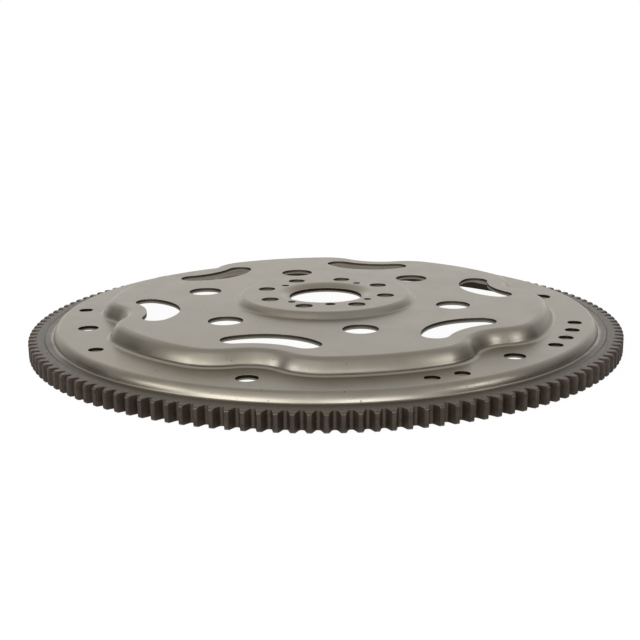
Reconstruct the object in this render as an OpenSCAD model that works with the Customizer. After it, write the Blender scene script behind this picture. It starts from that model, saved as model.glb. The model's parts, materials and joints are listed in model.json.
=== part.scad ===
// Flexplate: a stamped steel disc with a starter ring gear welded round its rim.
// The ring gear lies on z = 0, centred on the Z axis, and the crankshaft flange faces up.

/* [Disc levels] */
// Thickness of the stamped sheet
sheet_t = 2.7; // [2:0.1:3.2]
// Depth of the rim's face below the ring gear's upper face
rim_recess = 0.2; // [0:0.1:1]
// Height of the converter bolt ring above the rim
ring_rise = 5.5; // [5:0.1:7]
// Height of the plateau above the converter bolt ring
plateau_rise = 8.8; // [7.8:0.1:10]
// Height of the crankshaft flange above the plateau
flange_rise = 3.7; // [3:0.1:5]
// Depth of the dished lip round the pilot bore
lip_drop = 2.3; // [2.1:0.1:2.6]

/* [Crankshaft flange] */
// Diameter of the pilot bore
pilot_d = 44.5; // [42:0.5:45]
// Width of the level edge between the dished lip and the pilot bore
lip_land = 0.2; // [0.1:0.1:0.5]
// Radius where the flange's flat face ends
flange_r = 50.5; // [48:0.5:54]
// Number of crankshaft bolt holes
crank_n = 8; // [6:1:8]
// Diameter of a crankshaft bolt hole
crank_d = 10.5; // [9:0.1:11]
// Radius of the crankshaft bolt circle
crank_r = 38.2; // [37:0.1:40]
// Shift of the index hole from its even place, in degrees, so the disc fits one way only
index_turn = -3.4; // [-5:0.1:5]
// Radius of the circle of tooling holes
tooling_r = 32.4; // [32:0.1:33]
// Diameter of a tooling hole
tooling_d = 4.6; // [3.6:0.1:4.8]
// Diameter of the dowel hole
dowel_d = 6.2; // [5:0.1:6.5]

/* [Plateau] */
// Number of lobes, and of everything that repeats with them
lobe_n = 6; // [6:1:6]
// Diameter of a round window
window_d = 20.4; // [14:0.2:24]
// Width of metal between the flange's foot and a round window
window_web = 13.2; // [10:0.1:18]
// Width of metal between a crescent window and the edge of its notch
crescent_web = 8; // [7:0.1:10]
// Width of a crescent window on its middle line
crescent_w = 20; // [16:0.5:22]
// Radius of a crescent's inner edge
crescent_in = 36.5; // [34:0.5:39]
// Radius of a crescent's outer edge
crescent_out = 41; // [38:0.5:46]
// Radius of a crescent's round ends
crescent_end = 7.9; // [6.5:0.1:8.4]
// Radius of a notch at its floor
notch_arc = 23; // [20:0.5:26]
// Radius of the blend from notch to lobe at the plateau's edge
blend_arc = 25; // [20:0.5:28]

/* [Converter bolt ring] */
// Diameter of a converter bolt hole
converter_d = 12; // [10:0.1:14]
// Distance of the converter bolt circle from the floor of a notch
converter_seat = 16.7; // [15:0.1:18]
// Distance of the converter bolt circle from the ring's outer edge
converter_edge = 15.8; // [14:0.1:17]
// Diameter of a balance hole
balance_d = 8.6; // [6:0.1:10]
// Distance of the balance holes from the ring's outer edge
balance_edge = 9.2; // [8:0.1:11]
// Width of the ring's flat face outside a lobe
land_w = 19.7; // [17:0.1:22]
// Width of the flat rim between its step and the ring gear
rim_w = 4.3; // [2.5:0.1:6]

/* [Ring gear] */
// Outside diameter of the ring gear, over the tips of its teeth
gear_d = 360.68; // [350:0.02:372]
// Number of teeth
teeth_n = 140; // [136:1:144]
// Full depth of a tooth
tooth_depth = 5.2; // [4.6:0.1:5.6]
// Slope of a tooth's flank from its middle line, in degrees
flank_slope = 20; // [16:0.5:22]
// Bevel along a tooth's two tip edges
tip_bevel = 0.35; // [0.2:0.05:0.6]
// Lead-in bevel on the tooth ends
end_bevel = 0.8; // [0.4:0.1:1.2]
// Turn of the first tooth from the X axis, in degrees
tooth_turn = 0.54; // [0:0.01:2.5]
// Height of the ring gear
gear_h = 10.3; // [9.5:0.1:12]
// Radial thickness of the ring gear below its teeth
gear_wall = 4.5; // [4:0.1:5]
// Leg length of the weld under the rim
weld_leg = 3.2; // [2:0.1:3.6]

/* [Hidden] */
$fn = 96;
// Bend shapes as [upper radius, slope where it ends, lower radius, slope where it starts], with the
// slopes in degrees and the radii on the upper face
lip_bend = [11, 30, 1, 33];
flange_bend = [4, 45, 2, 52];
rise_bend = [5, 52, 3.4, 66];
rim_bend = [3.4, 45, 0.8, 76];
// Straight pieces that stand for the upper bend, the wall and the lower bend of a step
up_cuts = 3;
wall_cuts = 2;
low_cuts = 3;
// Straight pieces that stand for a lobe, a blend and a notch of the scalloped edge
lobe_cuts = 6;
blend_cuts = 5;
notch_cuts = 6;
// Margin by which a cutter stands proud of what it cuts
cut = 1;
// Places of the small holes, in degrees
tooling_at = [-22.5, 67.5, 157.5, 247.5];
dowel_at = -68.9;
balance_at = [-168, -130.9, -53.5, -46.9, -17.2, -10.5, -3.7, 3.1];
// Even place of the crankshaft hole that carries the index shift
index_at = -90;

// Module and radii of the gear
module_mm = gear_d / (teeth_n + 2);
tip_r = gear_d / 2;
pitch_r = module_mm * teeth_n / 2;
root_r = tip_r - tooth_depth;
bore_r = root_r - gear_wall;

// Heights of the disc's upper face, counted up from the ring gear's lower face
rim_z = gear_h - rim_recess;
ring_z = rim_z + ring_rise;
plateau_z = ring_z + plateau_rise;
flange_z = plateau_z + flange_rise;
lip_z = flange_z - lip_drop;

// A step in the sheet: an upper bend, a wall that steepens on its way down and a lower bend.
// The wall's radius takes up what the two bends leave of the drop.
function bend_drop(b) = b[0] * (1 - cos(b[1])) + b[2] * (1 - cos(b[3]));
function wall_r(drop, b) = (drop - bend_drop(b)) / (cos(b[1]) - cos(b[3]));
function step_run(drop, b) =
    b[0] * sin(b[1]) + wall_r(drop, b) * (sin(b[3]) - sin(b[1])) + b[2] * sin(b[3]);

rise_run = step_run(plateau_rise, rise_bend);

// Radii of the disc, counted in from the ring gear, then out from the pilot bore and the flange
step_r = bore_r - rim_w - step_run(ring_rise, rim_bend);
balance_r = step_r - balance_edge;
converter_r = step_r - converter_edge;
notch_r = converter_r - converter_seat;
lobe_r = step_r - land_w - rise_run;
crescent_r = notch_r - rise_run - crescent_web - crescent_w;
lip_r = pilot_d / 2 + lip_land + step_run(lip_drop, lip_bend);
flange_end = flange_r + step_run(flange_rise, flange_bend);
window_r = flange_end + window_web + window_d / 2;

// Plan of a notch at the plateau's edge: distances of its centre and of the blends' centres from
// the axis, the angle of a blend from the notch's middle line, and half the angle of the notch
lobe_step = 360 / lobe_n;
notch_c = notch_r + notch_arc;
notch_top = notch_arc + rise_run;
blend_c = lobe_r - blend_arc;
blend_gap = notch_top + blend_arc;
blend_at = acos((blend_c ^ 2 + notch_c ^ 2 - blend_gap ^ 2) / (2 * blend_c * notch_c));
notch_half = acos((notch_c ^ 2 + blend_gap ^ 2 - blend_c ^ 2) / (2 * notch_c * blend_gap));

// Plan of a crescent window: centres of its two edges and of a round end
in_c = crescent_r + crescent_in;
out_c = crescent_r + crescent_w + crescent_out;
in_gap = crescent_in - crescent_end;
out_gap = crescent_out + crescent_end;
end_x = (in_gap ^ 2 - out_gap ^ 2 + (out_c - in_c) ^ 2) / (2 * (out_c - in_c));
end_c = [in_c + end_x, sqrt(in_gap ^ 2 - end_x ^ 2)];

function dir(a) = [cos(a), sin(a)];
function reversed(v) = [for (i = [len(v) - 1 : -1 : 0]) v[i]];

// Points on a bend of radius r about c, from the one numbered first to its end
function bend_line(c, r, a0, a1, n, first) =
    [for (k = [first : n]) c + r * dir(a0 + (a1 - a0) * k / n)];

// One face of a step, t below the upper face, from x = 0 down to the lower flat at y = 0
function step_line(drop, b, t) =
    let (
        r = wall_r(drop, b),
        up_c = [0, drop - b[0]],
        wall_c = up_c + (b[0] - r) * dir(90 - b[1]),
        low_c = [step_run(drop, b), b[2]]
    )
        concat(
            bend_line(up_c, b[0] - t, 90, 90 - b[1], up_cuts, 0),
            bend_line(wall_c, r - t, 90 - b[1], 90 - b[3], wall_cuts, 1),
            bend_line(low_c, b[2] + t, 270 - b[3], 270, low_cuts, 1)
        );

// The hub's face, t below its upper face, from the pilot bore out to the plateau
function hub_line(t) = concat(
    [[pilot_d / 2, lip_z - t]],
    [for (p = reversed(step_line(lip_drop, lip_bend, t))) [lip_r - p[0], lip_z + p[1]]],
    [for (p = step_line(flange_rise, flange_bend, t)) [flange_r + p[0], plateau_z + p[1]]]
);

// The rim's face, t below its upper face, from the converter bolt ring out to the gear
function rim_line(t) = concat(
    [for (p = step_line(ring_rise, rim_bend, t)) [step_r + p[0], rim_z + p[1]]],
    [[bore_r, rim_z - t]]
);

// Points on an arc of the scalloped edge, each with its direction towards the foot of the rise
function edge_arc(c, r, a0, a1, n, way) = [
    for (k = [0 : n - 1])
        let (d = dir(a0 + (a1 - a0) * k / n))
            [c + r * d, way * d]
];

// One lobe and the notch that follows it, as arcs that run into each other
function edge_lobe(a) =
    let (
        half = lobe_step / 2,
        b = a + half,
        lobe_half = half - blend_at,
        before = blend_c * dir(b - blend_at),
        middle = notch_c * dir(b),
        after = blend_c * dir(b + blend_at)
    )
        concat(
            edge_arc([0, 0], lobe_r, a - lobe_half, a + lobe_half, lobe_cuts, 1),
            edge_arc(before, blend_arc, b - blend_at, b + notch_half, blend_cuts, 1),
            edge_arc(middle, notch_top, b + 180 + notch_half, b + 180 - notch_half, notch_cuts, -1),
            edge_arc(after, blend_arc, b - notch_half, b + blend_at, blend_cuts, 1)
        );

edge = [for (i = [0 : lobe_n - 1]) each edge_lobe(i * lobe_step)];

// Area inside the scalloped edge, s outside the plateau's edge
module scallop(s) {
    polygon([for (e = edge) e[0] + s * e[1]]);
}

// The step from the plateau down to the converter bolt ring, carried along the scalloped edge
module rise() {
    upper = step_line(plateau_rise, rise_bend, 0);
    outline = concat(upper, reversed(step_line(plateau_rise, rise_bend, sheet_t)));
    n = len(outline);
    m = len(edge);
    polyhedron(
        points = [for (e = edge) for (p = outline) [each (e[0] + p[0] * e[1]), ring_z + p[1]]],
        faces = [
            for (j = [0 : m - 1])
                for (k = [0 : n - 1])
                    let (
                        a = j * n + k,
                        b = (j + 1) % m * n + k,
                        c = (j + 1) % m * n + (k + 1) % n,
                        d = j * n + (k + 1) % n
                    )
                        each [[a, b, c], [a, c, d]]
        ]
    );
}

// Places a hole or cutter at radius r and angle a
module at(r, a) {
    rotate(a)
        translate([r, 0, 0])
            children();
}

// Plan of a crescent window on the X axis: two arcs joined by round ends
module crescent() {
    beyond = [in_c, 0] + 3 * crescent_in / in_gap * (end_c - [in_c, 0]);
    intersection() {
        difference() {
            translate([in_c, 0])
                circle(r = crescent_in);
            translate([out_c, 0])
                circle(r = crescent_out);
        }
        polygon([[out_c, 0], end_c, beyond, [beyond[0], -beyond[1]], [end_c[0], -end_c[1]]]);
    }
    for (side = [-1, 1])
        translate([end_c[0], side * end_c[1]])
            circle(r = crescent_end);
}

// Hub with the pilot bore, the dished lip and the crankshaft flange
module hub() {
    difference() {
        rotate_extrude()
            polygon(concat(hub_line(0), reversed(hub_line(sheet_t))));
        for (i = [0 : crank_n - 1])
            at(crank_r, index_at + i * 360 / crank_n + (i == 0 ? index_turn : 0))
                cylinder(d = crank_d, h = flange_z + cut);
        for (a = tooling_at)
            at(tooling_r, a)
                cylinder(d = tooling_d, h = flange_z + cut);
        at(tooling_r, dowel_at)
            cylinder(d = dowel_d, h = flange_z + cut);
    }
}

// Flat plateau with its round and crescent windows
module plateau() {
    translate([0, 0, plateau_z - sheet_t])
        linear_extrude(height = sheet_t)
            difference() {
                scallop(0);
                circle(r = flange_end);
                for (i = [0 : lobe_n - 1]) {
                    at(window_r, i * lobe_step)
                        circle(d = window_d);
                    rotate((i + 0.5) * lobe_step)
                        crescent();
                }
            }
}

// Flat ring with the converter bolt holes and the balance holes
module bolt_ring() {
    translate([0, 0, ring_z - sheet_t])
        linear_extrude(height = sheet_t)
            difference() {
                circle(r = step_r);
                scallop(rise_run);
                for (i = [0 : lobe_n - 1])
                    at(converter_r, (i + 0.5) * lobe_step)
                        circle(d = converter_d);
                for (a = balance_at)
                    at(balance_r, a)
                        circle(d = balance_d);
            }
}

// Stepped rim that carries the ring gear
module rim() {
    rotate_extrude()
        polygon(concat(rim_line(0), reversed(rim_line(sheet_t))));
}

// The stamped disc
module flexplate_disc() {
    color("lightsteelblue") {
        hub();
        plateau();
        rise();
        bolt_ring();
        rim();
    }
}

// Half the angle that a tooth takes up at radius r
function half_tooth(r) = (PI * module_mm / 4 - (r - pitch_r) * tan(flank_slope)) / r * 180 / PI;

// Corners of one tooth as [radius, angle], from one root to the other
half_tip = half_tooth(tip_r + tip_bevel);
half_bevel = half_tooth(tip_r - tip_bevel);
half_root = half_tooth(root_r);
tooth_corners = [
    [root_r, -half_root],
    [tip_r - tip_bevel, -half_bevel],
    [tip_r, -half_tip],
    [tip_r, half_tip],
    [tip_r - tip_bevel, half_bevel],
    [root_r, half_root]
];

// Plan of all the teeth
module teeth() {
    polygon([
        for (i = [0 : teeth_n - 1])
            for (c = tooth_corners)
                c[0] * dir(tooth_turn + i * 360 / teeth_n + c[1])
    ]);
}

// The ring gear, its teeth bevelled at both ends
module ring_gear() {
    color("dimgray")
        difference() {
            intersection() {
                linear_extrude(height = gear_h)
                    teeth();
                rotate_extrude()
                    polygon([
                        [0, 0],
                        [tip_r - end_bevel, 0],
                        [tip_r + cut, end_bevel + cut],
                        [tip_r + cut, gear_h - end_bevel - cut],
                        [tip_r - end_bevel, gear_h],
                        [0, gear_h]
                    ]);
            }
            translate([0, 0, -cut])
                cylinder(r = bore_r, h = gear_h + 2 * cut);
        }
}

// The weld in the corner between the rim's lower face and the ring gear's bore
module ring_weld() {
    color("darkgray")
        rotate_extrude()
            translate([bore_r, rim_z - sheet_t])
                intersection() {
                    circle(r = weld_leg);
                    translate([-weld_leg, -weld_leg])
                        square(weld_leg);
                }
}

flexplate_disc();
ring_gear();
ring_weld();
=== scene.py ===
"""Flexplate: a stamped steel disc with a starter ring gear welded round its rim."""
import json
import math

import bmesh
import bpy
from mathutils import Matrix, Vector

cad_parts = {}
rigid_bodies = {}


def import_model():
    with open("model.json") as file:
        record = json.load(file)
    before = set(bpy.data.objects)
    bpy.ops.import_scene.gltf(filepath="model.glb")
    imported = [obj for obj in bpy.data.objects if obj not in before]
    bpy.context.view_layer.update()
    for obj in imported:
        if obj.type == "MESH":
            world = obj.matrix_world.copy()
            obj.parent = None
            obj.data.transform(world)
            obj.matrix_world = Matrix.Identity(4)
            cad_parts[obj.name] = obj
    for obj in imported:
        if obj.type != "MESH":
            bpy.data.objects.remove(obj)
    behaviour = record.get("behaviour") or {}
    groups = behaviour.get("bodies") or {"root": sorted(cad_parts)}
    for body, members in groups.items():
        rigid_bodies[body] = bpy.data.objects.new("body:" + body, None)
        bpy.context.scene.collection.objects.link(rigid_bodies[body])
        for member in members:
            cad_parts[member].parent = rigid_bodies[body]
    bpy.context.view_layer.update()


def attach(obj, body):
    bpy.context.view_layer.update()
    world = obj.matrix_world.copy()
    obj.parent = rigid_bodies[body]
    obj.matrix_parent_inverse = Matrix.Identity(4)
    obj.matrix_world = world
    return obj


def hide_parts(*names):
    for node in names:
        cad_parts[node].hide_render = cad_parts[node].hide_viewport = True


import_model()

MM = 0.001
TURN = 2 * math.pi

# Sizes of the part, in millimetres and degrees, as in its source
SHEET = 2.7
RIM_Z, RING_Z, PLATEAU_Z, FLANGE_Z = 10.1, 15.6, 24.4, 28.1
LIP_DROP, FLANGE_DROP, RISE_DROP, RIM_DROP = 2.3, 3.7, 8.8, 5.5
# Bends as upper radius, slope where it ends, lower radius and slope where it starts
LIP_BEND, FLANGE_BEND = (11, 30, 1, 33), (4, 45, 2, 52)
RISE_BEND, RIM_BEND = (5, 52, 3.4, 66), (3.4, 45, 0.8, 76)
PILOT_R, LIP_LAND, FLANGE_R = 22.25, 0.2, 50.5
CRANK_N, CRANK_R, CRANK_HOLE, INDEX_AT, INDEX_TURN = 8, 38.2, 5.25, -90, -3.4
TOOLING_R, TOOLING_HOLE, TOOLING_AT = 32.4, 2.3, (-22.5, 67.5, 157.5, 247.5)
DOWEL_HOLE, DOWEL_AT = 3.1, -68.9
LOBES = 6
WINDOW_HOLE, WINDOW_WEB = 10.2, 13.2
CRESCENT_W, CRESCENT_WEB = 20, 8
CRESCENT_IN, CRESCENT_OUT, CRESCENT_END = 36.5, 41, 7.9
NOTCH_ARC, BLEND_ARC = 23, 25
CONVERTER_HOLE, CONVERTER_SEAT, CONVERTER_EDGE = 6, 16.7, 15.8
BALANCE_HOLE, BALANCE_EDGE = 4.3, 9.2
BALANCE_AT = (-168, -130.9, -53.5, -46.9, -17.2, -10.5, -3.7, 3.1)
LAND_W, RIM_W = 19.7, 4.3
GEAR_R, TEETH, TOOTH_DEPTH, GEAR_WALL, GEAR_H = 180.34, 140, 5.2, 4.5, 10.3
FLANK, TIP_BEVEL, END_BEVEL, TOOTH_TURN = 20, 0.35, 0.8, 0.54
WELD_LEG = 3.2

# Finish of the punched and pressed edges, in millimetres
ROLL = 0.08
BAND = 0.1
MARGIN = ROLL + BAND
LAND, LAND_LEAN = 0.4 * SHEET, 0.01
BREAKOUT = 0.12
BURR = 0.03
# The rim's cut edge: its clearance in the gear, the flat beside it, its rolled upper corner with
# the sag of that roll, and its broken lower corner
RIM_GAP, EDGE_FLAT, EDGE_ROLL, ROLL_SAG, EDGE_BREAK = 0.02, 0.6, 0.35, 0.1, 0.2
# The gear's broken edges and root fillets, with the fillet's middle as shares of its radius
TOOTH_BREAK, BORE_CHAMFER = 0.22, 0.4
ROOT_FILLET, FILLET_UP, FILLET_OUT = 0.55, 0.3, 0.22
# Points nearer to each other than this are joined
JOIN_GAP = 0.004

# Points along the curves, close enough that no facet shows
LOBE_STEPS, BLEND_STEPS, NOTCH_STEPS = 36, 16, 24
CRESCENT_IN_STEPS, CRESCENT_OUT_STEPS, CRESCENT_END_STEPS = 30, 26, 12
BEND_STEPS, WALL_STEPS, ROLL_STEPS = 9, 8, 3
LIP_STEPS, FLANGE_STEPS, RIM_STEPS = 144, 180, 420
WELD_STEPS, WELD_FACE_STEPS = 1890, 8

# The weld's ripples, the seed of its unevenness and how far that is from one swell to the next
RIPPLES, WELD_SEED, SWELL_SIZE = 270, 4.0, 6


def wall_r(drop, bend):
    """Radius of the wall between the two bends of a step, which takes up the rest of its drop."""
    upper, lower = math.cos(math.radians(bend[1])), math.cos(math.radians(bend[3]))
    return (drop - bend[0] * (1 - upper) - bend[2] * (1 - lower)) / (upper - lower)


def step_run(drop, bend):
    """How far a step reaches from its upper flat to its lower one."""
    upper, lower = math.sin(math.radians(bend[1])), math.sin(math.radians(bend[3]))
    return bend[0] * upper + wall_r(drop, bend) * (lower - upper) + bend[2] * lower


LIP_R = PILOT_R + LIP_LAND + step_run(LIP_DROP, LIP_BEND)
RISE_RUN = step_run(RISE_DROP, RISE_BEND)
FLANGE_RUN = step_run(FLANGE_DROP, FLANGE_BEND)
ROOT_R = GEAR_R - TOOTH_DEPTH
BORE_R = ROOT_R - GEAR_WALL
STEP_R = BORE_R - RIM_W - step_run(RIM_DROP, RIM_BEND)
BALANCE_R = STEP_R - BALANCE_EDGE
CONVERTER_R = STEP_R - CONVERTER_EDGE
NOTCH_R = CONVERTER_R - CONVERTER_SEAT
LOBE_R = STEP_R - LAND_W - RISE_RUN
CRESCENT_R = NOTCH_R - RISE_RUN - CRESCENT_WEB - CRESCENT_W
WINDOW_R = FLANGE_R + FLANGE_RUN + WINDOW_WEB + WINDOW_HOLE


# Plan curves and sheet sections, as lists of points in millimetres

def polar(r, degrees):
    return (r * math.cos(math.radians(degrees)), r * math.sin(math.radians(degrees)))


def arc(centre, r, a0, a1, n, last=False):
    """Points on an arc; the last one is left to the next arc unless asked for."""
    points = []
    for k in range(n + 1 if last else n):
        x, y = polar(r, a0 + (a1 - a0) * k / n)
        points.append((centre[0] + x, centre[1] + y))
    return points


def circle(r, n):
    return arc((0, 0), r, 0, 360, n)


def corner_angle(near, other, opposite):
    """Angle in degrees between two sides of a triangle, from the lengths of all three."""
    return math.degrees(math.acos((near ** 2 + other ** 2 - opposite ** 2) / (2 * near * other)))


def scalloped_edge():
    """The plateau's edge: lobes and notches joined by blends, all tangent arcs."""
    half = 180 / LOBES
    notch_c, notch_top = NOTCH_R + NOTCH_ARC, NOTCH_ARC + RISE_RUN
    blend_c, gap = LOBE_R - BLEND_ARC, notch_top + BLEND_ARC
    blend_at = corner_angle(blend_c, notch_c, gap)
    notch_half = corner_angle(notch_c, gap, blend_c)
    points = []
    for i in range(LOBES):
        a = i * 2 * half
        b = a + half
        before, after = b - blend_at, b + blend_at
        points += arc((0, 0), LOBE_R, a - half + blend_at, a + half - blend_at, LOBE_STEPS)
        points += arc(polar(blend_c, before), BLEND_ARC, before, b + notch_half, BLEND_STEPS)
        points += arc(polar(notch_c, b), notch_top,
                      b + 180 + notch_half, b + 180 - notch_half, NOTCH_STEPS)
        points += arc(polar(blend_c, after), BLEND_ARC, b - notch_half, after, BLEND_STEPS)
    return points


def crescent():
    """A crescent window on the X axis, anticlockwise: two arcs joined by round ends."""
    in_c = CRESCENT_R + CRESCENT_IN
    out_c = CRESCENT_R + CRESCENT_W + CRESCENT_OUT
    in_gap, out_gap = CRESCENT_IN - CRESCENT_END, CRESCENT_OUT + CRESCENT_END
    end_x = (in_gap ** 2 - out_gap ** 2 + (out_c - in_c) ** 2) / (2 * (out_c - in_c))
    end = (in_c + end_x, math.sqrt(in_gap ** 2 - end_x ** 2))
    low = (end[0], -end[1])
    from_in = math.degrees(math.atan2(end[1], end_x))
    from_out = math.degrees(math.atan2(end[1], end[0] - out_c))
    points = arc((in_c, 0), CRESCENT_IN, from_in, 360 - from_in, CRESCENT_IN_STEPS)
    points += arc(low, CRESCENT_END, 360 - from_in, 540 - from_out, CRESCENT_END_STEPS)
    points += arc((out_c, 0), CRESCENT_OUT, 360 - from_out, from_out, CRESCENT_OUT_STEPS)
    points += arc(end, CRESCENT_END, from_out - 180, from_in, CRESCENT_END_STEPS)
    return points


def step_face(drop, bend, t):
    """One face of a step, t below the upper one, as distance out and depth."""
    upper_r, upper_slope, lower_r, lower_slope = bend
    run, wall = step_run(drop, bend), wall_r(drop, bend)
    x, y = polar(upper_r - wall, 90 - upper_slope)
    face = arc((0, drop - upper_r), upper_r - t, 90, 90 - upper_slope, BEND_STEPS)
    face += arc((x, drop - upper_r + y), wall - t, 90 - upper_slope, 90 - lower_slope, WALL_STEPS)
    face += arc((run, lower_r), lower_r + t, 270 - lower_slope, 270, BEND_STEPS, last=True)
    face = [(x, drop - y) for x, y in face]
    return [(-BAND, t)] + face + [(run + BAND, drop + t)]


def step_section(drop, bend):
    """Both faces of a step, open at its ends, where the flats join it."""
    return [step_face(drop, bend, 0), step_face(drop, bend, SHEET)[::-1]]


def hole_edge():
    """A punched hole's wall from the underside up: burr, breakout, land and rolled edge."""
    wall = [(MARGIN, SHEET), (BREAKOUT + BURR, SHEET), (BREAKOUT, SHEET - BURR), (LAND_LEAN, LAND)]
    wall += [(ROLL + x, ROLL - y) for x, y in arc((0, 0), ROLL, 180, 90, ROLL_STEPS, last=True)]
    return wall + [(MARGIN, 0)]


def lip_section():
    """The dished lip and the pilot bore, from the flange's underside round to its upper face."""
    in_run = LIP_R - PILOT_R
    under = [(-x, y) for x, y in step_face(LIP_DROP, LIP_BEND, SHEET)[:-1]]
    upper = [(-x, y) for x, y in step_face(LIP_DROP, LIP_BEND, 0)[:-1]][::-1]
    bore = [(x - in_run, y + LIP_DROP) for x, y in hole_edge()[1:-1]]
    return [under + bore + upper]


def rim_section():
    """The rim's step and flat, round its rounded outer edge and back along the underside."""
    out = BORE_R - STEP_R - RIM_GAP
    low, under = RIM_DROP, RIM_DROP + SHEET
    upper = step_face(RIM_DROP, RIM_BEND, 0)
    edge = [(out - EDGE_FLAT, low), (out - EDGE_ROLL, low),
            (out - ROLL_SAG, low + ROLL_SAG), (out, low + EDGE_ROLL),
            (out, under - EDGE_BREAK), (out - EDGE_BREAK, under), (out - EDGE_FLAT, under)]
    return [upper + edge + step_face(RIM_DROP, RIM_BEND, SHEET)[::-1]]


# Blender helpers

# Sockets of a Mix node: its share, then both colours and their result, then both values
SHARE, UNDER, OVER, MIXED = 0, 6, 7, 2
UNDER_VALUE, OVER_VALUE = 2, 3


def linear(hex_colour):
    """An sRGB hex colour as the linear colour that Blender works in."""
    parts = [int(hex_colour[i:i + 2], 16) / 255 for i in (1, 3, 5)]
    return tuple(c / 12.92 if c <= 0.04045 else ((c + 0.055) / 1.055) ** 2.4 for c in parts) + (1,)


def per(size):
    """The texture scale at which a pattern is this many millimetres across."""
    return 1 / (size * MM)


def feed(tree, node, inputs):
    """Sets a node's inputs, each to a value or to the socket that feeds it."""
    for key, value in inputs.items():
        if isinstance(value, bpy.types.NodeSocket):
            tree.links.new(value, node.inputs[key])
        else:
            node.inputs[key].default_value = value


def add(tree, kind, inputs=None, stops=(), **settings):
    """Adds a node with its inputs and settings; stops are the places and colours of a ramp."""
    made = tree.nodes.new(kind)
    for name, value in settings.items():
        setattr(made, name, value)
    feed(tree, made, inputs or {})
    for spot, colour in stops[1:-1]:
        made.color_ramp.elements.new(spot)
    if stops:
        for stop, (spot, colour) in zip(made.color_ramp.elements, stops):
            stop.position, stop.color = spot, colour
    return made


def put(name, data):
    """A new object in the scene."""
    made = bpy.data.objects.new(name, data)
    bpy.context.scene.collection.objects.link(made)
    return made


def clear(before):
    """Removes the curves and points that a piece was made from."""
    for helper in set(bpy.data.objects) - before:
        bpy.data.objects.remove(helper)


def curve_object(name, lines, closed):
    """A curve of straight pieces through the points, given in millimetres."""
    curve = bpy.data.curves.new(name, "CURVE")
    curve.dimensions = "3D"
    for line in lines:
        spline = curve.splines.new("POLY")
        spline.points.add(len(line) - 1)
        for point, (x, y) in zip(spline.points, line):
            point.co = (x * MM, y * MM, 0, 1)
        spline.use_cyclic_u = closed
    return put(name, curve)


def new_tree(name, sizes):
    """A Geometry Nodes tree with named inputs, and its input node."""
    tree = bpy.data.node_groups.new(name, "GeometryNodeTree")
    tree.interface.new_socket("Geometry", in_out="INPUT", socket_type="NodeSocketGeometry")
    for label, kind in sizes.items():
        tree.interface.new_socket(label, in_out="INPUT", socket_type="NodeSocket" + kind)
    tree.interface.new_socket("Geometry", in_out="OUTPUT", socket_type="NodeSocketGeometry")
    return tree, tree.nodes.new("NodeGroupInput").outputs


def end_tree(tree, geometry, material):
    """Ends a tree in plain geometry with its material."""
    whole = add(tree, "GeometryNodeRealizeInstances", {0: geometry}).outputs[0]
    smooth = add(tree, "GeometryNodeSetShadeSmooth", {0: whole}).outputs[0]
    done = add(tree, "GeometryNodeSetMaterial", {0: smooth, "Material": material}).outputs[0]
    tree.links.new(done, tree.nodes.new("NodeGroupOutput").inputs[0])


def grown(tree, start, sizes):
    """Runs a tree on an object and gives the result as a plain mesh."""
    modifier = start.modifiers.new(tree.name, "NODES")
    modifier.node_group = tree
    for item in tree.interface.items_tree:
        if item.in_out == "INPUT" and item.name in sizes:
            modifier[item.identifier] = sizes[item.name]
    graph = bpy.context.evaluated_depsgraph_get()
    mesh = bpy.data.meshes.new_from_object(start.evaluated_get(graph))
    start.modifiers.remove(modifier)
    return mesh


def piece(name, meshes, node):
    """Joins meshes into one closed piece that stands for a node of the part."""
    made = bmesh.new()
    for mesh in meshes:
        made.from_mesh(mesh)
    bmesh.ops.remove_doubles(made, verts=made.verts, dist=JOIN_GAP * MM)
    whole = bpy.data.meshes.new(name)
    made.to_mesh(whole)
    made.free()
    for material in meshes[0].materials:
        whole.materials.append(material)
    thing = put(name, whole)
    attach(thing, "root")
    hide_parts(node)
    return thing


def new_material(name):
    """A material with a bare Principled surface: itself, its tree, that surface and coordinates."""
    made = bpy.data.materials.new(name)
    made.use_nodes = True
    tree = made.node_tree
    return made, tree, tree.nodes["Principled BSDF"], add(tree, "ShaderNodeTexCoord").outputs


def axis_distance(tree, place):
    """How far each point of the surface is from the part's axis."""
    flat = add(tree, "ShaderNodeVectorMath", {0: place, 1: (1, 1, 0)}, operation="MULTIPLY")
    return add(tree, "ShaderNodeVectorMath", {0: flat.outputs[0]},
               operation="LENGTH").outputs["Value"]


# Materials, with the sizes of their patterns in millimetres

# Rolling streaks along and across, dried oil, wide patches of cast, grit and pits; real grit and
# streaks are finer, and are drawn as coarse as they need to show
STREAK_LONG, STREAK_WIDE, MOTTLE, CAST, GRIT, PIT = 14, 0.8, 16, 60, 0.7, 1.5
GRIT_DEEP, STREAK_DEEP, PIT_DEEP = 0.022, 0.02, 0.08
# Height of the painted shade and highlight line at the rise's foot; the side towards the camera,
# where that line is painted strongest, in degrees; and how far out towards that side it begins and
# is full
CREASE_H, CAMERA_SIDE_AT, CAMERA_SIDE_FROM, CAMERA_SIDE_FULL = 2.4, -74, 60, 110
# Radii where the weld's heat tint and the painted shade on the rim's flat begin and are full, and
# how ragged that limit is
HEAT_SHADE_FROM, HEAT_SHADE_FULL, HEAT_SHADE_RAGGED = 167.2, 168.8, 2.4
# Holes inside the first radius or outside the second are drilled
DRILLED_IN, DRILLED_OUT = 24, 135


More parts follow.
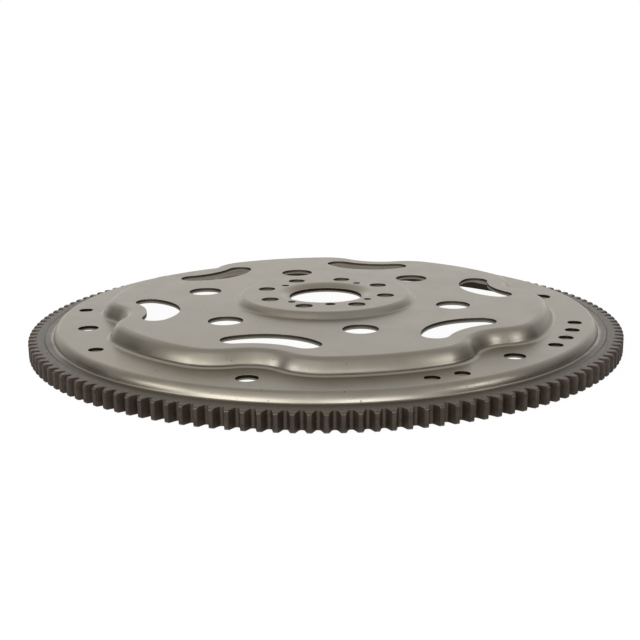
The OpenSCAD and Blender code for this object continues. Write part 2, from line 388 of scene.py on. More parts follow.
def pressed_steel():
    """Cold-rolled steel sheet, pressed and wiped: a satin grey with a patchy warm cast, faint
    rolling streaks, soft mottling where the press oil dried, a few fine pits, a painted shade line
    over a painted highlight line at the rise's foot, painted shade on the walls of the punched
    holes, lighter on their torn part, and a brown heat tint along the welded rim, darkened with
    painted shade."""
    made, tree, surface, at = new_material("cold_rolled_steel_pressed")
    place = at["Object"]
    streak_way = add(tree, "ShaderNodeMapping", {
        "Vector": place, "Scale": (per(STREAK_LONG), per(STREAK_WIDE), per(STREAK_WIDE))})
    streak = add(tree, "ShaderNodeTexNoise", {
        "Vector": streak_way.outputs[0], "Scale": 1.0, "Detail": 4.0, "Roughness": 0.6}).outputs[0]
    mottle = add(tree, "ShaderNodeTexNoise", {
        "Vector": place, "Scale": per(MOTTLE), "Detail": 5.0, "Roughness": 0.62}).outputs[0]
    grit = add(tree, "ShaderNodeTexNoise", {
        "Vector": place, "Scale": per(GRIT), "Detail": 2.0}).outputs[0]
    pit = add(tree, "ShaderNodeTexNoise", {
        "Vector": place, "Scale": per(PIT), "Detail": 1.0, "Roughness": 0.4}).outputs[0]
    pits = add(tree, "ShaderNodeMapRange", {
        "Value": pit, "From Min": 0.75, "From Max": 0.80}).outputs[0]
    tone = add(tree, "ShaderNodeMapRange", {
        "Value": mottle, "From Min": 0.32, "From Max": 0.68}).outputs[0]
    wide = add(tree, "ShaderNodeTexNoise", {
        "Vector": place, "Scale": per(CAST), "Detail": 2.0}).outputs[0]
    cast = add(tree, "ShaderNodeMapRange", {
        "Value": wide, "From Min": 0.42, "From Max": 0.6, "To Max": 0.7}).outputs[0]

    # The foot of the rise, by height: a painted shade line over a painted highlight line, standing
    # in for the concave bend's reflections there
    height = add(tree, "ShaderNodeSeparateXYZ", {0: place}).outputs["Z"]
    above = add(tree, "ShaderNodeMapRange", {
        "Value": height, "From Min": RING_Z * MM, "From Max": (RING_Z + CREASE_H) * MM}).outputs[0]
    painted_crease_shade, painted_crease_glint = linear("#6A6358")[:3], linear("#CFC8BA")[:3]
    painted_foot_line = add(tree, "ShaderNodeValToRGB", {0: above}, stops=(
        (0.0, (*painted_crease_glint, 0)), (0.06, (*painted_crease_glint, 0.4)), (0.25, (*painted_crease_glint, 0.4)),
        (0.36, (*painted_crease_shade, 0.95)), (0.56, (*painted_crease_shade, 0.95)), (0.75, (*painted_crease_shade, 0)))).outputs
    patchy = add(tree, "ShaderNodeMapRange", {
        "Value": mottle, "From Min": 0.36, "From Max": 0.6, "To Min": 0.55}).outputs[0]
    # The painted shade and highlight are strongest out towards the camera's side
    down = add(tree, "ShaderNodeVectorMath", {
        0: place, 1: (*polar(1, CAMERA_SIDE_AT), 0)}, operation="DOT_PRODUCT").outputs["Value"]
    camera_side_share = add(tree, "ShaderNodeMapRange", {
        "Value": down, "From Min": CAMERA_SIDE_FROM * MM, "From Max": CAMERA_SIDE_FULL * MM,
        "To Min": 0.3}).outputs[0]
    crease_strength = add(tree, "ShaderNodeMath", {0: patchy, 1: camera_side_share}, operation="MULTIPLY").outputs[0]
    painted_crease = add(tree, "ShaderNodeMath", {
        0: painted_foot_line["Alpha"], 1: crease_strength}, operation="MULTIPLY").outputs[0]

    # The welded rim, by its distance from the axis, with a ragged inner limit: a brown heat tint,
    # darkened further as painted shade on the rim's flat between its step and the gear
    radius = axis_distance(tree, place)
    ragged = add(tree, "ShaderNodeMath", {
        0: mottle, 1: HEAT_SHADE_RAGGED * MM, 2: radius}, operation="MULTIPLY_ADD").outputs[0]
    heat_tint_and_shade = add(tree, "ShaderNodeMapRange", {
        "Value": ragged, "From Min": HEAT_SHADE_FROM * MM, "From Max": HEAT_SHADE_FULL * MM,
        "To Max": 0.9}).outputs[0]

    # Walls of punched holes stand upright, steeper than any pressed slope; the torn part leans back
    facing = add(tree, "ShaderNodeSeparateXYZ", {0: at["Normal"]}).outputs["Z"]
    lean = add(tree, "ShaderNodeMath", {0: facing, 1: 0.03}).outputs[0]
    slope = add(tree, "ShaderNodeMath", {0: lean}, operation="ABSOLUTE").outputs[0]
    upright = add(tree, "ShaderNodeMapRange", {
        "Value": slope, "From Min": 0.19, "From Max": 0.15}).outputs[0]
    torn_and_lit = add(tree, "ShaderNodeMapRange", {
        "Value": facing, "From Min": -0.02, "From Max": -0.09}).outputs[0]
    # The bolt ring's holes and the pilot bore are drilled, and their walls are painted darker still
    # as shade
    outside = add(tree, "ShaderNodeMath", {
        0: radius, 1: DRILLED_OUT * MM}, operation="GREATER_THAN").outputs[0]
    inside = add(tree, "ShaderNodeMath", {
        0: radius, 1: DRILLED_IN * MM}, operation="LESS_THAN").outputs[0]
    drilled = add(tree, "ShaderNodeMath", {0: outside, 1: inside}).outputs[0]
    # The walls' colour is painted shade inside the holes; their torn part is lighter, as its own
    # rough grain and as painted light reflected from below
    wall = linear("#4A443C")
    for share, shade in ((torn_and_lit, "#736D63"), (drilled, "#2F2821")):
        wall = add(tree, "ShaderNodeMix", {
            SHARE: share, UNDER: wall, OVER: linear(shade)}, data_type="RGBA").outputs[MIXED]

    colour = linear("#A69D8D")
    for share, shade in (
            (tone, linear("#B9B1A2")), (cast, linear("#AFABA1")), (streak, linear("#AFA798")),
            (pits, linear("#6A6458")), (painted_crease, painted_foot_line["Color"]), (heat_tint_and_shade, linear("#5E564B")),
            (upright, wall)):
        colour = add(tree, "ShaderNodeMix", {
            SHARE: share, UNDER: colour, OVER: shade}, data_type="RGBA").outputs[MIXED]
    gloss = add(tree, "ShaderNodeMapRange", {
        "Value": mottle, "From Min": 0.3, "From Max": 0.7, "To Min": 0.29, "To Max": 0.37})
    dull = add(tree, "ShaderNodeMath", {
        0: upright, 1: 0.25, 2: gloss.outputs[0]}, operation="MULTIPLY_ADD").outputs[0]
    fine = add(tree, "ShaderNodeBump", {
        "Strength": 0.35, "Distance": GRIT_DEEP * MM, "Height": grit}).outputs[0]
    rolled = add(tree, "ShaderNodeBump", {
        "Strength": 0.3, "Distance": STREAK_DEEP * MM, "Height": streak,
        "Normal": fine}).outputs[0]
    dented = add(tree, "ShaderNodeBump", {
        "Strength": 0.6, "Distance": PIT_DEEP * MM, "Height": pits,
        "Normal": rolled}, invert=True).outputs[0]
    feed(tree, surface, {
        "Base Color": colour, "Metallic": 1.0, "Roughness": dull, "Normal": dented})
    return made


# Blotches of oxide, its fine scale with that scale's depth, and where the roots' shade starts; real
# scale is finer, and is drawn as coarse as it needs to show
BLOTCH, SCALE, SCALE_DEEP, ROOT_MARGIN = 5, 0.9, 0.05, 2


def hardened_gear_steel():
    """Hobbed gear steel, flame-hardened: dark brown oxide on the flanks and tips, the flanks
    darkened further as painted shade in the gaps between the teeth, lighter in the roots, a
    smoother grey on the turned end faces and rubbed edges that catch the light."""
    made, tree, surface, at = new_material("gear_steel_flame_hardened")
    place = at["Object"]
    radius = axis_distance(tree, place)
    blotch = add(tree, "ShaderNodeTexNoise", {
        "Vector": place, "Scale": per(BLOTCH), "Detail": 5.0, "Roughness": 0.65}).outputs[0]
    scale = add(tree, "ShaderNodeTexNoise", {
        "Vector": place, "Scale": per(SCALE), "Detail": 3.0, "Roughness": 0.6}).outputs[0]
    out = add(tree, "ShaderNodeMapRange", {
        "Value": radius, "From Min": (ROOT_R - ROOT_MARGIN) * MM, "From Max": GEAR_R * MM})
    # The flanks' colour is oxide darkened further as painted shade in the gaps between the teeth
    root, flank_and_gap_shade, tip = linear("#5C5146"), linear("#4A3D33"), linear("#453C34")
    shades = add(tree, "ShaderNodeValToRGB", {0: out.outputs[0]}, stops=(
        (0.0, root), (0.285, root), (0.34, flank_and_gap_shade), (0.92, flank_and_gap_shade), (0.96, tip), (1.0, tip)))
    # The turned end faces lie flat and keep a greyer, smoother skin than the hobbed teeth
    facing = add(tree, "ShaderNodeSeparateXYZ", {0: at["Normal"]}).outputs["Z"]
    level = add(tree, "ShaderNodeMath", {0: facing}, operation="ABSOLUTE").outputs[0]
    end_face = add(tree, "ShaderNodeMapRange", {
        "Value": level, "From Min": 0.4, "From Max": 0.7}).outputs[0]
    light = add(tree, "ShaderNodeMapRange", {
        "Value": blotch, "From Min": 0.35, "From Max": 0.65, "To Max": 0.3}).outputs[0]
    speck = add(tree, "ShaderNodeMapRange", {
        "Value": scale, "From Min": 0.54, "From Max": 0.66, "To Max": 0.5}).outputs[0]
    worn = add(tree, "ShaderNodeAttribute", attribute_name="worn_edge").outputs["Fac"]
    rub = add(tree, "ShaderNodeMapRange", {
        "Value": scale, "From Min": 0.4, "From Max": 0.58, "To Max": 0.55}).outputs[0]
    wear = add(tree, "ShaderNodeMath", {0: worn, 1: rub}, operation="MULTIPLY").outputs[0]
    colour = shades.outputs["Color"]
    for share, shade in (
            (end_face, "#776E64"), (light, "#6E645A"), (speck, "#2A2019"), (wear, "#9A9286")):
        colour = add(tree, "ShaderNodeMix", {
            SHARE: share, UNDER: colour, OVER: linear(shade)}, data_type="RGBA").outputs[MIXED]
    bare = add(tree, "ShaderNodeMapRange", {"Value": end_face, "To Min": 0.6}).outputs[0]
    gloss = add(tree, "ShaderNodeMapRange", {
        "Value": scale, "From Min": 0.3, "From Max": 0.7, "To Min": 0.44, "To Max": 0.6})
    smooth = add(tree, "ShaderNodeMath", {
        0: end_face, 1: -0.14, 2: gloss.outputs[0]}, operation="MULTIPLY_ADD").outputs[0]
    rough = add(tree, "ShaderNodeBump", {
        "Strength": 0.5, "Distance": SCALE_DEEP * MM, "Height": scale}).outputs[0]
    feed(tree, surface, {
        "Base Color": colour, "Metallic": bare, "Roughness": smooth, "Normal": rough})
    return made


# Patches of heat tint, and soot with the depth of its skin
TINT, SOOT, SOOT_DEEP = 9, 1.2, 0.05


def weld_steel():
    """Steel laid by a wire welder: bright rippled metal with brown heat tint and soot on it."""
    made, tree, surface, at = new_material("weld_steel_wire_laid")
    place = at["Object"]
    tint = add(tree, "ShaderNodeTexNoise", {
        "Vector": place, "Scale": per(TINT), "Detail": 4.0}).outputs[0]
    soot = add(tree, "ShaderNodeTexNoise", {
        "Vector": place, "Scale": per(SOOT), "Detail": 3.0}).outputs[0]
    sooty = add(tree, "ShaderNodeMapRange", {
        "Value": soot, "From Min": 0.5, "From Max": 0.7, "To Max": 0.6}).outputs[0]
    colour = linear("#6F665B")
    for share, shade in ((tint, "#A39F97"), (sooty, "#453E36")):
        colour = add(tree, "ShaderNodeMix", {
            SHARE: share, UNDER: colour, OVER: linear(shade)}, data_type="RGBA").outputs[MIXED]
    skin = add(tree, "ShaderNodeBump", {
        "Strength": 0.4, "Distance": SOOT_DEEP * MM, "Height": soot}).outputs[0]
    feed(tree, surface, {"Base Color": colour, "Metallic": 1.0, "Roughness": 0.42, "Normal": skin})
    return made


# Geometry Nodes trees

def pressed_step_tree():
    """A bend of the sheet carried along its path at a level."""
    tree, given = new_tree("pressed_step", {
        "Section": "Object", "Level": "Float", "Finish": "Material"})
    path = add(tree, "GeometryNodeSetCurveNormal", {0: given["Geometry"]}, mode="Z_UP").outputs[0]
    section = add(tree, "GeometryNodeObjectInfo", {"Object": given["Section"]}).outputs["Geometry"]
    skin = add(tree, "GeometryNodeCurveToMesh", {
        "Curve": path, "Profile Curve": section}).outputs[0]
    up = add(tree, "ShaderNodeCombineXYZ", {2: given["Level"]}).outputs[0]
    raised = add(tree, "GeometryNodeTransform", {"Geometry": skin, "Translation": up}).outputs[0]
    end_tree(tree, raised, given["Finish"])
    return tree


def punched_flat_tree():
    """A flat of the sheet between two paths, punched by cutters at marked places."""
    tree, given = new_tree("punched_flat", {
        "Cutters": "Collection", "Inner path": "Object", "Inner offset": "Float",
        "Outer path": "Object", "Outer offset": "Float", "Hole edge": "Object",
        "Hole margin": "Float", "Level": "Float", "Sheet": "Float", "Finish": "Material"})
    cutters = add(tree, "GeometryNodeCollectionInfo", {
        "Collection": given["Cutters"], "Separate Children": True, "Reset Children": True})
    which = add(tree, "GeometryNodeInputNamedAttribute", {"Name": "cutter"}, data_type="INT")
    turn = add(tree, "GeometryNodeInputNamedAttribute", {"Name": "turn"}, data_type="FLOAT")
    spin = add(tree, "ShaderNodeCombineXYZ", {2: turn.outputs[0]}).outputs[0]
    punched = add(tree, "GeometryNodeInstanceOnPoints", {
        "Points": given["Geometry"], "Instance": cutters.outputs[0], "Pick Instance": True,
        "Instance Index": which.outputs[0], "Rotation": spin}).outputs[0]
    holes = add(tree, "GeometryNodeRealizeInstances", {0: punched}).outputs[0]
    holes = add(tree, "GeometryNodeSetCurveNormal", {0: holes}, mode="Z_UP").outputs[0]

    lines = []
    for side in ("Inner", "Outer"):
        path = add(tree, "GeometryNodeObjectInfo", {"Object": given[side + " path"]})
        path = add(tree, "GeometryNodeSetCurveNormal", {0: path.outputs["Geometry"]}, mode="Z_UP")
        lines.append((path.outputs[0], given[side + " offset"]))
    lines.append((holes, given["Hole margin"]))
    normal = add(tree, "GeometryNodeInputNormal").outputs[0]
    outlines = add(tree, "GeometryNodeJoinGeometry")
    for line, offset in lines:
        shift = add(tree, "ShaderNodeVectorMath", {
            0: normal, "Scale": offset}, operation="SCALE").outputs[0]
        moved = add(tree, "GeometryNodeSetPosition", {"Geometry": line, "Offset": shift}).outputs[0]
        tree.links.new(moved, outlines.inputs[0])
    face = add(tree, "GeometryNodeFillCurve", {0: outlines.outputs[0]}).outputs[0]
    edge = add(tree, "GeometryNodeObjectInfo", {"Object": given["Hole edge"]}).outputs["Geometry"]
    walls = add(tree, "GeometryNodeCurveToMesh", {
        "Curve": holes, "Profile Curve": edge}).outputs[0]
    down = add(tree, "ShaderNodeMath", {
        0: given["Sheet"], 1: -1.0}, operation="MULTIPLY").outputs[0]
    below = add(tree, "ShaderNodeCombineXYZ", {2: down}).outputs[0]
    lower = add(tree, "GeometryNodeTransform", {"Geometry": face, "Translation": below}).outputs[0]
    lower = add(tree, "GeometryNodeFlipFaces", {0: lower}).outputs[0]
    flat = add(tree, "GeometryNodeJoinGeometry")
    for part in (face, lower, walls):
        tree.links.new(part, flat.inputs[0])
    up = add(tree, "ShaderNodeCombineXYZ", {2: given["Level"]}).outputs[0]
    raised = add(tree, "GeometryNodeTransform", {
        "Geometry": flat.outputs[0], "Translation": up}).outputs[0]
    end_tree(tree, raised, given["Finish"])
    return tree


def toothed_ring_tree():
    """A ring made of one tooth's sector repeated round the axis."""
    tree, given = new_tree("toothed_ring", {
        "Teeth": "Int", "First tooth": "Float", "Finish": "Material"})
    points = add(tree, "GeometryNodePoints", {"Count": given["Teeth"]}).outputs[0]
    index = add(tree, "GeometryNodeInputIndex").outputs[0]
    pitch = add(tree, "ShaderNodeMath", {
        0: TURN, 1: given["Teeth"]}, operation="DIVIDE").outputs[0]
    angle = add(tree, "ShaderNodeMath", {
        0: index, 1: pitch, 2: given["First tooth"]}, operation="MULTIPLY_ADD").outputs[0]
    spin = add(tree, "ShaderNodeCombineXYZ", {2: angle}).outputs[0]
    ring = add(tree, "GeometryNodeInstanceOnPoints", {
        "Points": points, "Instance": given["Geometry"], "Rotation": spin}).outputs[0]
    end_tree(tree, ring, given["Finish"])
    return tree


def weld_bead_tree():
    """A bead carried round its path, swelling and thinning with each ripple."""
    tree, given = new_tree("weld_bead", {
        "Section": "Object", "Ripples": "Int", "Level": "Float", "Seed": "Float",
        "Finish": "Material"})
    path = add(tree, "GeometryNodeSetCurveNormal", {0: given["Geometry"]}, mode="Z_UP").outputs[0]
    section = add(tree, "GeometryNodeObjectInfo", {"Object": given["Section"]}).outputs["Geometry"]
    along = add(tree, "GeometryNodeSplineParameter").outputs["Factor"]
    where = add(tree, "GeometryNodeInputPosition").outputs[0]
    uneven = add(tree, "ShaderNodeTexNoise", {
        "Vector": where, "W": given["Seed"], "Scale": per(SWELL_SIZE), "Detail": 1.0},
        noise_dimensions="4D").outputs[0]
    phase = add(tree, "ShaderNodeMath", {
        0: along, 1: given["Ripples"]}, operation="MULTIPLY").outputs[0]
    beat = add(tree, "ShaderNodeMath", {
        0: uneven, 1: 0.7, 2: phase}, operation="MULTIPLY_ADD").outputs[0]
    saw = add(tree, "ShaderNodeMath", {0: beat}, operation="FRACT").outputs[0]
    ripple = add(tree, "ShaderNodeMapRange", {
        "Value": saw, "To Min": 1.0, "To Max": 0.90}).outputs[0]
    swell = add(tree, "ShaderNodeMapRange", {
        "Value": uneven, "From Min": 0.3, "From Max": 0.7, "To Min": 0.9, "To Max": 1.0}).outputs[0]
    size = add(tree, "ShaderNodeMath", {0: ripple, 1: swell}, operation="MULTIPLY").outputs[0]
    bead = add(tree, "GeometryNodeCurveToMesh", {
        "Curve": path, "Profile Curve": section, "Scale": size}).outputs[0]
    up = add(tree, "ShaderNodeCombineXYZ", {2: given["Level"]}).outputs[0]
    raised = add(tree, "GeometryNodeTransform", {"Geometry": bead, "Translation": up}).outputs[0]
    end_tree(tree, raised, given["Finish"])
    return tree


# Pieces

def cutter_places(name, rows):
    """Points where a flat is punched, each with its cutter's number and its turn."""
    mesh = bpy.data.meshes.new(name)
    marks = [(number, r, a) for number, (r, angles) in enumerate(rows) for a in angles]
    mesh.from_pydata([(*(c * MM for c in polar(r, a)), 0) for number, r, a in marks], [], [])
    numbers = [number for number, r, a in marks]
    mesh.attributes.new("cutter", "INT", "POINT").data.foreach_set("value", numbers)
    turns = [math.radians(a) for number, r, a in marks]
    mesh.attributes.new("turn", "FLOAT", "POINT").data.foreach_set("value", turns)
    return put(name, mesh)


def stamped_disc(steel):
    """The disc from four bends and the three flats between them."""
    before = set(bpy.data.objects)
    step_tree, flat_tree = pressed_step_tree(), punched_flat_tree()
    paths = {
        "lip": curve_object("lip_path", [circle(LIP_R, LIP_STEPS)], True),
        "flange": curve_object("flange_path", [circle(FLANGE_R, FLANGE_STEPS)], True),
        "rise": curve_object("rise_path", [scalloped_edge()], True),
        "rim": curve_object("rim_path", [circle(STEP_R, RIM_STEPS)], True),
    }
    bends = (
        ("lip", lip_section(), FLANGE_Z),
        ("flange", step_section(FLANGE_DROP, FLANGE_BEND), FLANGE_Z),
        ("rise", step_section(RISE_DROP, RISE_BEND), PLATEAU_Z),
        ("rim", rim_section(), RING_Z),
    )
    meshes = []
    for name, lines, level in bends:
        section = curve_object(name + "_section", lines, False)
        meshes.append(grown(step_tree, paths[name], {
            "Section": section, "Level": level * MM, "Finish": steel}))

    every = [i * 360 / LOBES for i in range(LOBES)]
    between = [a + 180 / LOBES for a in every]
    crank = [INDEX_AT + i * 360 / CRANK_N + (INDEX_TURN if i == 0 else 0) for i in range(CRANK_N)]
    crescent_line = [(x - CRESCENT_R, y) for x, y in crescent()]
    # Each flat's inner and outer path with the offset from it, its level, and its cutters: the
    # line that each cuts, how far out it stands and at which angles
    flats = (
        ("flange", "lip", BAND, "flange", -BAND, FLANGE_Z, (
            (circle(CRANK_HOLE, 48), CRANK_R, crank),
            (circle(TOOLING_HOLE, 24), TOOLING_R, TOOLING_AT),
            (circle(DOWEL_HOLE, 32), TOOLING_R, (DOWEL_AT,)))),
        ("plateau", "flange", FLANGE_RUN + BAND, "rise", -BAND, PLATEAU_Z, (
            (circle(WINDOW_HOLE, 72), WINDOW_R, every),
            (crescent_line, CRESCENT_R, between))),
        ("ring", "rise", RISE_RUN + BAND, "rim", -BAND, RING_Z, (
            (circle(CONVERTER_HOLE, 56), CONVERTER_R, between),
            (circle(BALANCE_HOLE, 48), BALANCE_R, BALANCE_AT))),
    )
    edge = curve_object("hole_edge", [hole_edge()], False)
    for name, inner, inner_offset, outer, outer_offset, level, rows in flats:
        cutters = bpy.data.collections.new(name + "_cutters")
        bpy.context.scene.collection.children.link(cutters)
        for number, (line, r, angles) in enumerate(rows):
            cutter = curve_object(f"{name}_cutter_{number}", [line], True)
            bpy.context.scene.collection.objects.unlink(cutter)
            cutters.objects.link(cutter)
        places = cutter_places(name + "_places", [(r, angles) for line, r, angles in rows])
        meshes.append(grown(flat_tree, places, {
            "Cutters": cutters, "Inner path": paths[inner], "Inner offset": inner_offset * MM,
            "Outer path": paths[outer], "Outer offset": outer_offset * MM, "Hole edge": edge,
            "Hole margin": MARGIN * MM, "Level": level * MM, "Sheet": SHEET * MM,
            "Finish": steel}))
        bpy.data.collections.remove(cutters)
    clear(before)
    piece("stamped_disc", meshes, "flexplate_disc")


def tooth_sector():
    """One tooth of the ring gear with its share of the ring, its edges broken."""
    module = 2 * GEAR_R / (TEETH + 2)
    pitch_r = module * TEETH / 2
    half_pitch = math.pi / TEETH

    def half_tooth(r):
        """Half of the tooth's angle at a radius."""
        return (math.pi * module / 4 - (r - pitch_r) * math.tan(math.radians(FLANK))) / r

    # One side of the tooth from the gap's middle to the tip, as radius and angle from its middle
    root = half_tooth(ROOT_R)
    side = [
        (ROOT_R, half_pitch),
        (ROOT_R, root + ROOT_FILLET / ROOT_R),
        (ROOT_R + FILLET_UP * ROOT_FILLET, root + FILLET_OUT * ROOT_FILLET / ROOT_R),
        (ROOT_R + ROOT_FILLET, half_tooth(ROOT_R + ROOT_FILLET)),
        (GEAR_R - END_BEVEL, half_tooth(GEAR_R - END_BEVEL)),
        (GEAR_R - TIP_BEVEL, half_tooth(GEAR_R - TIP_BEVEL)),
        (GEAR_R, half_tooth(GEAR_R + TIP_BEVEL)),
    ]
    plan = [(r, -a) for r, a in side] + [(r, a) for r, a in reversed(side)]
    spots = [Vector(polar(r, math.degrees(a))) for r, a in plan]
    last = len(plan) - 1

    def outline(inset, z_of):
        """The tooth's outline, drawn in by inset, at the height that its radius gives."""
        points = []
        for k, here in enumerate(spots):
            if k in (0, last):
                r, a = plan[k]
                here = Vector(polar(r - inset, math.degrees(a)))
            else:
                arriving = (here - spots[k - 1]).normalized()
                leaving = (spots[k + 1] - here).normalized()
                along = (arriving + leaving).normalized()
                here = here - Vector((along.y, -along.x)) * inset
            points.append((here.x, here.y, z_of(here.length)))
        return points

    def top_at(r):
        """Height of the upper end face, which slopes down over the bevel at the tip."""
        return GEAR_H - max(0.0, r - (GEAR_R - END_BEVEL))

    rows = [
        outline(TOOTH_BREAK, lambda r: GEAR_H - top_at(r)),
        outline(0, lambda r: GEAR_H - top_at(r) + TOOTH_BREAK),
        outline(0, lambda r: top_at(r) - TOOTH_BREAK),
        outline(TOOTH_BREAK, top_at),
    ]
    wall = [(BORE_R + BORE_CHAMFER, GEAR_H), (BORE_R, GEAR_H - BORE_CHAMFER),
            (BORE_R, BORE_CHAMFER), (BORE_R + BORE_CHAMFER, 0)]
    made = bmesh.new()
    worn = made.faces.layers.float.new("worn_edge")
    outer = [[made.verts.new([c * MM for c in p]) for p in row] for row in rows]
    inner = []
    for a in (-half_pitch, half_pitch):
        line = [(*polar(r, math.degrees(a)), z) for r, z in wall]
        inner.append([made.verts.new([c * MM for c in p]) for p in line])
    # The flanks, and above and below them the broken edges, which are worn
    for j in range(len(rows) - 1):
        low, high = outer[j], outer[j + 1]
        for k in range(last):
            face = made.faces.new((low[k], low[k + 1], high[k + 1], high[k]))
            face[worn] = 0.0 if j == 1 else 1.0
    # Bore and its chamfers
    for k in range(len(wall) - 1):
        made.faces.new((inner[0][k], inner[0][k + 1], inner[1][k + 1], inner[1][k]))
    # End faces: the tooth in strips across, then the ring inside the roots
    for row, wall_at, flip in ((outer[-1], 0, False), (outer[0], -1, True)):
        faces = [(row[k], row[k + 1], row[last - k - 1], row[last - k])
                 for k in range(2, last // 2)]
        faces.append((inner[0][wall_at], *row[:3], *row[-3:], inner[1][wall_at]))
        for corners in faces:
            made.faces.new(corners[::-1] if flip else corners)
    mesh = bpy.data.meshes.new("tooth_sector")
    made.to_mesh(mesh)
    made.free()
    return put("tooth_sector", mesh)


def ring_gear(steel):
    """The starter ring from its tooth, with flat faces and crisp edges."""
    before = set(bpy.data.objects)
    ring = grown(toothed_ring_tree(), tooth_sector(), {
        "Teeth": TEETH, "First tooth": math.radians(TOOTH_TURN), "Finish": steel})
    clear(before)
    piece("starter_ring_gear", [ring], "ring_gear").data.shade_flat()


def ring_weld(steel):
    """The bead in the corner between the rim's underside and the gear's bore."""
    before = set(bpy.data.objects)
    path = curve_object("weld_path", [circle(BORE_R, WELD_STEPS)], True)
    # The corner that the bead fills, then its round face from the rim down to the bore
    face = arc((0, 0), WELD_LEG, 180, 90, WELD_FACE_STEPS, last=True)[::-1]
    section = curve_object("weld_section", [[(0, 0)] + face], True)
    bead = grown(weld_bead_tree(), path, {
        "Section": section, "Ripples": RIPPLES, "Level": (RIM_Z - SHEET) * MM,
        "Seed": WELD_SEED, "Finish": steel})
    clear(before)
    piece("ring_weld_bead", [bead], "ring_weld")


# Camera, floor and light, in metres and degrees

# The photograph's camera: how far up, round from -Y and rolled it is, how far off, and the height
# that it looks at
CAMERA_UP, CAMERA_ROUND, CAMERA_ROLL = 14.55, 16, -0.608
CAMERA_FAR, CAMERA_LOOKS_AT = 0.7086, 5.15 * MM
CAMERA_AT = CAMERA_ROUND - 90
# Its image and the focal length and shift on it, in pixels, and the sensor's width
IMAGE, FOCAL, SHIFT_X, SHIFT_Y = 640, 1132.62, -5.75, 7.8
SENSOR = 36
NEAREST = 0.01

# Brightness of the sweep by height, from the floor up to overhead
SWEEP = ((0.0, 0.95), (0.17, 0.93), (0.3, 0.78), (0.36, 0.66), (0.5, 0.57), (0.64, 0.52),
         (0.77, 0.47), (0.87, 0.44), (1.0, 0.43))
# Where the lamps' glow stands, round from the camera and up
GLOW_TURN, GLOW_LIFT = -38, 30
FLOOR_HALF = 6
# Soft lamps as degrees round from the camera, degrees up, size and brightness
LAMPS = (
    ("far_left_softbox", -67, 25, (0.5, 0.36), 2.6),
    ("left_softbox", -33, 16, (0.89, 0.46), 2.8),
    ("camera_softbox", 14, 15, (0.67, 0.47), 2.6),
    ("right_softbox", 65, 30, (0.38, 0.28), 3.8),
)
LAMP_FAR, LAMP_LOOKS_AT, LAMP_TINT = 1.4, 0.02, "#F9FCFF"


def photo_camera():
    """The photograph's view: its direction, distance, lens and framing on a square image."""
    up, around, roll = (math.radians(a) for a in (CAMERA_UP, CAMERA_ROUND, CAMERA_ROLL))
    target = Vector((0, 0, CAMERA_LOOKS_AT))
    back = Vector((math.sin(around) * math.cos(up), -math.cos(around) * math.cos(up), math.sin(up)))
    data = bpy.data.cameras.new("photo_camera")
    data.sensor_width = SENSOR
    data.lens = FOCAL * SENSOR / IMAGE
    data.shift_x, data.shift_y = SHIFT_X / IMAGE, SHIFT_Y / IMAGE
    data.clip_start = NEAREST
    made = put("photo_camera", data)
    made.matrix_world = (Matrix.Translation(target + back * CAMERA_FAR)
                         @ back.to_track_quat("Z", "Y").to_matrix().to_4x4()
                         @ Matrix.Rotation(roll, 4, "Z"))
    bpy.context.scene.camera = made


def white_sweep():
    """A white sweep behind with greyer sides and ceiling, which the metal mirrors; seen straight
    on it is white."""
    world = bpy.data.worlds.new("white_studio")
    bpy.context.scene.world = world
    world.use_nodes = True
    tree = world.node_tree
    tree.nodes.clear()
    way = add(tree, "ShaderNodeTexCoord").outputs["Generated"]
    height = add(tree, "ShaderNodeSeparateXYZ", {0: way}).outputs["Z"]
    across = add(tree, "ShaderNodeVectorMath", {
        0: way, 1: (*polar(1, CAMERA_AT + 90), 0)}, operation="DOT_PRODUCT").outputs["Value"]
    aside = add(tree, "ShaderNodeMath", {0: across}, operation="ABSOLUTE").outputs[0]
    to_side = add(tree, "ShaderNodeMapRange", {
        "Value": aside, "From Min": 0.45, "From Max": 0.9}).outputs[0]
    sweep = add(tree, "ShaderNodeValToRGB", {0: height}, stops=[
        (spot, (grey, grey, grey, 1)) for spot, grey in SWEEP]).outputs["Color"]
    side = add(tree, "ShaderNodeMapRange", {
        "Value": height, "From Min": 0.15, "From Max": 0.78, "To Min": 0.05, "To Max": 0.43})
    around = add(tree, "ShaderNodeMix", {
        SHARE: to_side, UNDER_VALUE: sweep, OVER_VALUE: side.outputs[0]}, data_type="FLOAT")
    # The lamps' own glow on the ceiling above them
    lift = math.radians(GLOW_LIFT)
    above_lamps = (*polar(math.cos(lift), CAMERA_AT + GLOW_TURN), math.sin(lift))
    near_lamps = add(tree, "ShaderNodeVectorMath", {
        0: way, 1: above_lamps}, operation="DOT_PRODUCT").outputs["Value"]
    glow = add(tree, "ShaderNodeMapRange", {
        "Value": near_lamps, "From Min": 0.7, "From Max": 0.9, "To Max": 0.22},
        interpolation_type="SMOOTHSTEP").outputs[0]
    mirrored = add(tree, "ShaderNodeMath", {0: around.outputs[0], 1: glow}).outputs[0]
    ray = add(tree, "ShaderNodeLightPath").outputs
    seen = add(tree, "ShaderNodeMath", {
        0: ray["Is Camera Ray"], 1: ray["Is Transmission Ray"]}, operation="MAXIMUM").outputs[0]
    strength = add(tree, "ShaderNodeMix", {
        SHARE: seen, UNDER_VALUE: mirrored, OVER_VALUE: 1.0}, data_type="FLOAT").outputs[0]
    light = add(tree, "ShaderNodeBackground", {"Color": (1, 1, 1, 1), "Strength": strength})
    add(tree, "ShaderNodeOutputWorld", {0: light.outputs[0]})


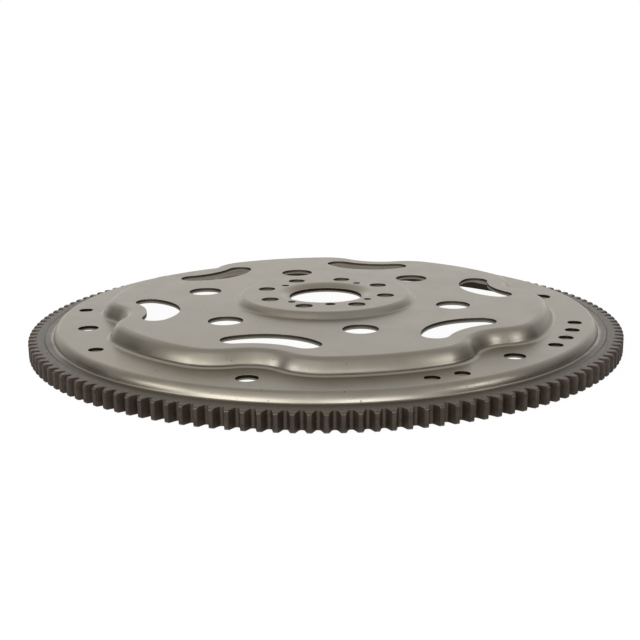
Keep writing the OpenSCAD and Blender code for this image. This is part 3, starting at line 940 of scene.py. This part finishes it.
def white_floor():
    """A white paper floor that keeps the part's shadow."""
    mesh = bpy.data.meshes.new("floor")
    corners = ((-1, -1), (1, -1), (1, 1), (-1, 1))
    mesh.from_pydata([(x * FLOOR_HALF, y * FLOOR_HALF, 0) for x, y in corners], [], [(0, 1, 2, 3)])
    floor = put("floor", mesh)
    paper = bpy.data.materials.new("white_paper_floor")
    paper.use_nodes = True
    tree = paper.node_tree
    tree.nodes.clear()
    ray = add(tree, "ShaderNodeLightPath").outputs
    # Seen straight on it is nearly all white; in the metal its own shade under the disc shows too
    mirrored = add(tree, "ShaderNodeMath", {
        0: ray["Is Glossy Ray"], 1: 0.3}, operation="MULTIPLY").outputs[0]
    white = add(tree, "ShaderNodeMath", {
        0: ray["Is Camera Ray"], 1: 0.9, 2: mirrored}, operation="MULTIPLY_ADD").outputs[0]
    matt = add(tree, "ShaderNodeBsdfDiffuse", {"Color": (0.9, 0.9, 0.9, 1)})
    lit = add(tree, "ShaderNodeEmission", {"Color": (1, 1, 1, 1), "Strength": 1.06})
    both = add(tree, "ShaderNodeMixShader", {0: white, 1: matt.outputs[0], 2: lit.outputs[0]})
    add(tree, "ShaderNodeOutputMaterial", {0: both.outputs[0]})
    mesh.materials.append(paper)


def soft_lamps():
    """Four soft lamps on the camera's side, each as bright as its table says whatever its size."""
    for name, turn, lift, size, brightness in LAMPS:
        lamp = bpy.data.lights.new(name, "AREA")
        lamp.shape = "RECTANGLE"
        lamp.size, lamp.size_y = size
        lamp.energy = brightness * math.pi * size[0] * size[1]
        lamp.color = linear(LAMP_TINT)[:3]
        made = put(name, lamp)
        up = LAMP_FAR * math.tan(math.radians(lift))
        made.location = (*polar(LAMP_FAR, CAMERA_AT + turn), up)
        aim = Vector((0, 0, LAMP_LOOKS_AT)) - made.location
        made.rotation_euler = aim.to_track_quat("-Z", "Y").to_euler()


photo_camera()
white_sweep()
white_floor()
soft_lamps()
stamped_disc(pressed_steel())
ring_gear(hardened_gear_steel())
ring_weld(weld_steel())
bpy.context.scene.view_settings.view_transform = "Standard"
